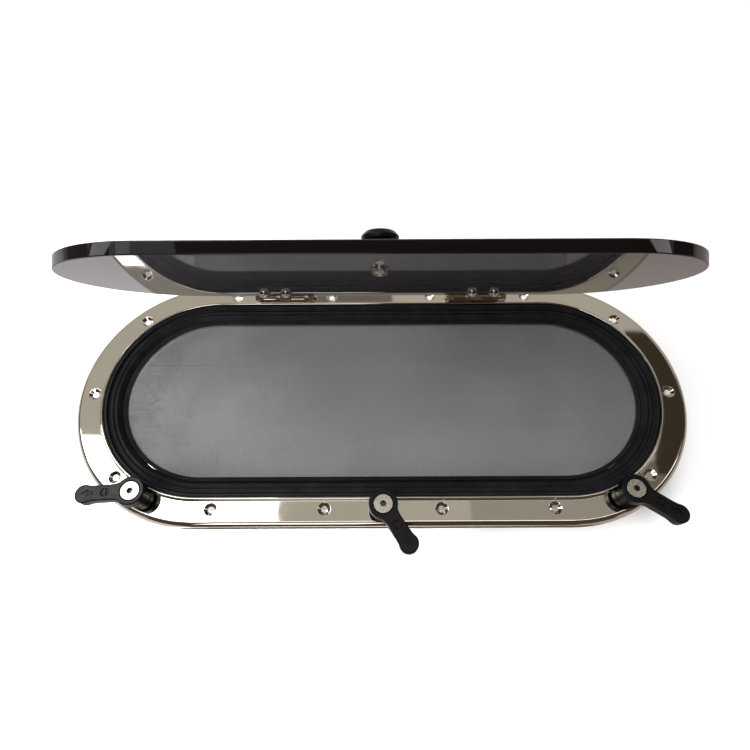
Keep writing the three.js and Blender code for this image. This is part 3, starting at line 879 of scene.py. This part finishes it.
def lid():
    publish("lid_pane", lid_pane(), SWUNG)
    publish("lid_knob", moved(knob(), 0, KNOB_Y), SWUNG)
    hole = STUD_RADIUS + GAP
    nut_base = KNOB_NUT_TOP - KNOB_NUT_HEIGHT
    end = nut_base - 1
    head = KNOB_ROOF - 0.5
    plain = STUD_RADIUS - 0.1
    stud = turned([(0, end), *threaded(STUD_RADIUS, end, KNOB_NUT_TOP + 0.5, STUD_PITCH),
                   (plain, KNOB_NUT_TOP + 1), (plain, head), (0, head)])
    publish("knob_stud", moved(stud, 0, KNOB_Y), SWUNG)
    ring = box_profile(hole, WASHER_RADIUS, WASHER_TOP - WASHER_THICK, WASHER_TOP, 0.2)
    publish("knob_washer", moved(turned(ring, closed=True), 0, KNOB_Y), SWUNG)
    hexagonal = nut(KNOB_NUT_FLATS, nut_base, KNOB_NUT_TOP, hole)
    publish("knob_nut", moved(hexagonal, 0, KNOB_Y), SWUNG)


def nut(flats, low, high, bore):
    """A hexagon nut whose corners are chamfered by a turned cone."""
    face = flats / 2 - 0.2
    side = flats / math.sqrt(3) + 0.4
    chamfer = 1.2
    cone = turned([(0, low), (face, low), (side, low + chamfer), (side, high - chamfer),
                   (face, high), (0, high)], 60)
    body = combined(prism(hexagon(flats), low - 1, high + 1), [cone], "INTERSECT")
    return cut(softened(body, 0.15), rod(bore, low - 2, high + 2))


# ------------------------------------------------------------------ dogs


def dog_base():
    """A round boss with a flat beside the rim."""
    corner = math.degrees(math.asin(DOG_BASE_FLAT / DOG_BASE_RADIUS))
    outline = arc((0, 0), DOG_BASE_RADIUS, 180 - corner, 360 + corner, 56)
    block = softened(prism(outline, GAP, DOG_BASE_TOP), 0.6, 4)
    return cut(block, rod(DOG_BORE, -1, DOG_BASE_TOP + 1))


def lever_outline():
    """A round head, a waist and a round tip, joined by smooth curves."""
    neck = 50  # the degrees where the curve leaves the head and where it meets the tip
    heel = 70
    waist_x = 20
    head = arc((0, 0), HEAD_RADIUS, neck, 360 - neck, 44)
    tip = arc((TIP_REACH, 0), TIP_RADIUS, heel - 180, 180 - heel, 28)
    x, y = tip[-1]
    side = [head[0]]
    side += bezier(head[0], (10.2, WAIST), (14, WAIST), (waist_x, WAIST), 8)
    side += bezier(side[-1], (waist_x + 6, WAIST), (x - 3, y - 1.1), (x, y), 8)
    other_side = [(x, -y) for x, y in side]
    return head + other_side[1:] + tip[1:] + side[-2:0:-1]


def arrow(tail, neck, tip, shaft, head):
    """An arrow along X. The last two numbers are half its widths."""
    return [(tail, -shaft), (neck, -shaft), (neck, -head), (tip, 0), (neck, head), (neck, shaft),
            (tail, shaft)]


def lever():
    """The swivelling lever: a screw seat in its head, a round dimple and an arrow on its arm."""
    top = LEVER_TOP
    above = top + 1
    body = softened(prism(lever_outline(), LEVER_BASE, top), 1.3, 5, 60)
    seat = turned([(0, LEVER_BASE - 1), (DOG_BORE, LEVER_BASE - 1), (DOG_BORE, top - 3.6),
                   (DOG_HEAD + 0.75, top - 0.9), (DOG_HEAD + 0.9, above), (0, above)])
    bowl = [(0, top - 1.3, 0), (3.2, top - 0.9, 0.5), (4.2, above, 0), (0, above, 0)]
    dimple = turned(fillet(bowl, 4, closed=False))
    bar = prism([(-0.7, -3.4), (0.7, -3.4), (0.7, 3.4), (-0.7, 3.4)], top - 2, top - 0.35)
    mark = moved(cut(dimple, bar), MARK_X)
    outer = prism(arrow(30.0, 34.4, 40.6, 1.5, 3.6), top - 0.9, above)
    inner = prism(arrow(30.9, 35.3, 38.8, 0.6, 2.0), top - 2, top - 0.15)
    return cut(body, seat, mark, cut(outer, inner))


def dog_bolt():
    """A countersunk socket screw with a threaded end."""
    top = DOG_BOLT_TOP
    plain = DOG_BOLT - 0.1
    thread = threaded(DOG_BOLT, DOG_BOLT_END, 3, DOG_BOLT_PITCH)
    head = fillet([(DOG_BOLT, top - 4, 0), (DOG_HEAD, top - 0.6, 0.3), (DOG_HEAD - 0.1, top, 0.35),
                   (0, top, 0)], 4, closed=False)
    body = turned([(0, DOG_BOLT_END), *thread, (plain, 4), (plain, top - 4.1), *head], 64)
    return cut(body, prism(hexagon(SOCKET_FLATS, 15), top - SOCKET_DEPTH, top + 1))


def dogs():
    for side, (x, y) in dog_places().items():
        tangent = BASE_ANGLE[side]
        publish(f"dog_base_{side}", moved(dog_base(), x, y, turn=tangent))
        publish(f"dog_lever_{side}", moved(lever(), x, y, turn=LEVER_ANGLE[side]))
        publish(f"dog_bolt_{side}", moved(dog_bolt(), x, y))
        hole = DOG_BOLT + GAP
        bush = turned(box_profile(hole, BUSH_RADIUS, GAP, BUSH_TOP, 0.2), closed=True)
        publish(f"dog_bush_{side}", moved(bush, x, y))
        washer = turned(box_profile(DOG_BORE, DOG_WASHER_RADIUS, *DOG_WASHER, 0.2), closed=True)
        publish(f"dog_washer_{side}", moved(washer, x, y))
        top = -SHEET - GAP
        hexagonal = nut(DOG_NUT_FLATS, top - DOG_NUT_HEIGHT, top, hole)
        publish(f"dog_nut_{side}", moved(hexagonal, x, y, turn=tangent + 30))


frame_and_screen()
hinges()
lid()
dogs()

# ------------------------------------------------------------------ camera, floor and light


CAMERA_PLACE = (-6.4, -210, 470)
CAMERA_TILT = math.radians(25.97)
CAMERA_ROLL = math.radians(-0.27)
FOCAL_LENGTH = 25.92


def add_camera():
    lens = bpy.data.cameras.new("camera")
    lens.lens = FOCAL_LENGTH
    lens.sensor_width = 36
    lens.clip_start = 0.01
    camera = bpy.data.objects.new("camera", lens)
    stand = MIDDLE + Vector(CAMERA_PLACE) * MM
    camera.matrix_world = (Matrix.Translation(stand) @ Matrix.Rotation(CAMERA_TILT, 4, "X")
                           @ Matrix.Rotation(CAMERA_ROLL, 4, "Z"))
    bpy.context.scene.collection.objects.link(camera)
    bpy.context.scene.camera = camera


def glowing(name, colour, strength):
    material = bpy.data.materials.new(name)
    material.use_nodes = True
    nodes = material.node_tree.nodes
    nodes.clear()
    glow = nodes.new("ShaderNodeEmission")
    glow.inputs["Color"].default_value = (*colour, 1)
    glow.inputs["Strength"].default_value = strength
    out = nodes.new("ShaderNodeOutputMaterial")
    material.node_tree.links.new(glow.outputs["Emission"], out.inputs["Surface"])
    return material


def rectangle(name, centre, size, material, facing):
    x, y = size[0] / 2, size[1] / 2
    corners = [(-x, -y, 0), (x, -y, 0), (x, y, 0), (-x, y, 0)]
    mesh = bpy.data.meshes.new(name)
    mesh.from_pydata(corners, [], [(0, 1, 2, 3)])
    turn = Vector(facing).to_track_quat("Z", "Y").to_matrix().to_4x4()
    mesh.transform(Matrix.Translation(centre) @ turn)
    mesh.materials.append(material)
    obj = bpy.data.objects.new(name, mesh)
    bpy.context.scene.collection.objects.link(obj)
    return obj


def card(name, centre, size, colour, strength, facing=(0, 0, -1)):
    """A panel that only shows in reflections."""
    obj = rectangle(name, centre, size, glowing(name, colour, strength), facing)
    obj.visible_camera = False
    obj.visible_diffuse = False
    obj.visible_transmission = False
    obj.visible_shadow = False


def soft_light(name, centre, target, size, power, glossy=True):
    lamp = bpy.data.lights.new(name, "AREA")
    lamp.shape = "RECTANGLE"
    lamp.size, lamp.size_y = size
    lamp.energy = power
    obj = bpy.data.objects.new(name, lamp)
    obj.location = centre
    obj.rotation_euler = (Vector(target) - Vector(centre)).to_track_quat("-Z", "Y").to_euler()
    obj.visible_glossy = glossy
    bpy.context.scene.collection.objects.link(obj)


def add_floor():
    s = Shader("studio_floor", Roughness=0.9, Specular_IOR_Level=0.1)
    s.base_colour(s.noise(2, 2), (0.3, (0.93, 0.93, 0.93)), (0.7, (0.95, 0.95, 0.95)))
    rectangle("floor", (0, 0, CAD_BOX[0].z - 0.0005), (6, 6), s.material, (0, 0, 1))


def add_world():
    world = bpy.data.worlds.new("studio")
    bpy.context.scene.world = world
    world.use_nodes = True
    sky = world.node_tree.nodes["Background"]
    sky.inputs["Color"].default_value = (1.0, 0.985, 0.96, 1)
    sky.inputs["Strength"].default_value = 0.32


def ceiling_panel(name, left, right, front, back, colour, strength, height=1.2):
    """A card overhead between two x and two y, in metres."""
    centre = ((left + right) / 2, (front + back) / 2, height)
    card(name, centre, (right - left, back - front), colour, strength)


def add_studio():
    add_floor()
    add_world()
    soft_light("key", (-0.30, -0.02, 1.6), (0, 0.05, 0), (1.6, 1.1), 24, glossy=False)
    soft_light("back", (0, 1.3, 1.1), (0, 0, 0), (1.6, 0.8), 8, glossy=False)
    soft_light("sparkle", (-0.25, -0.75, 1.0), (0, 0, 0), (0.5, 0.35), 2.0)
    soft_light("left_fill", (-0.58, -0.28, 0.36), (-0.15, 0, 0), (0.3, 0.3), 8.5, glossy=False)
    cream = (1.0, 0.94, 0.81)
    brown = (0.10, 0.072, 0.052)
    ceiling_panel("ceiling_back", -2.4, 2.4, 0.06, 2.6, cream, 0.49, 1.24)
    ceiling_panel("ceiling_shade", 0.28, 2.4, 0.0, 0.30, (1.0, 0.93, 0.80), 0.35, 1.22)
    ceiling_panel("ceiling_dusk", 0.76, 1.2, 0.0, 0.30, (1.0, 0.87, 0.72), 0.17, 1.21)
    ceiling_panel("ceiling_left", -1.6, -0.303, 0.02, 0.380, (1, 1, 0.99), 6.5)
    ceiling_panel("ceiling_glow", -1.15, -0.50, -0.40, -0.06, (1, 0.97, 0.98), 0.65, 1.21)
    ceiling_panel("ceiling_glint", -0.95, -0.64, -0.36, -0.08, (1, 0.97, 0.98), 1.5)
    ceiling_panel("ceiling_strip", -2.4, 2.4, -0.12, 0.03, (1, 0.98, 0.93), 2.4, 1.21)
    ceiling_panel("ceiling_right", 0.87, 2.4, 0.25, 0.765, (1.0, 0.78, 0.50), 0.045)
    ceiling_panel("ceiling_middle", -0.25, 0.06, 0.80, 1.30, (1.0, 0.88, 0.76), 0.17)
    ceiling_panel("ceiling_front", -2.4, 2.4, -2.4, 0.0, brown, 0.7, 1.26)
    card("front_wall", (0, -2.4, 0.9), (4.8, 1.8), brown, 0.9, (0, 1, 0))
    card("left_wall", (-2.4, -0.4, 1.0), (3.0, 1.6), brown, 1.2, (1, 0, 0))
    card("right_wall", (2.4, -0.4, 1.0), (3.0, 1.6), brown, 0.7, (-1, 0, 0))
    card("floor_left", (-0.9, 0, 0.002), (1.4, 1.4), (1.0, 0.95, 0.96), 0.8, (0, 0, 1))
    card("floor_right", (0.9, 0, 0.002), (1.4, 1.4), (1.0, 0.87, 0.81), 0.47, (0, 0, 1))
    card("front_strip", (0.01, -0.2, 0.002), (0.40, 0.16), brown, 1.6, (0, 0, 1))


add_camera()
add_studio()
bpy.context.scene.view_settings.view_transform = "Standard"
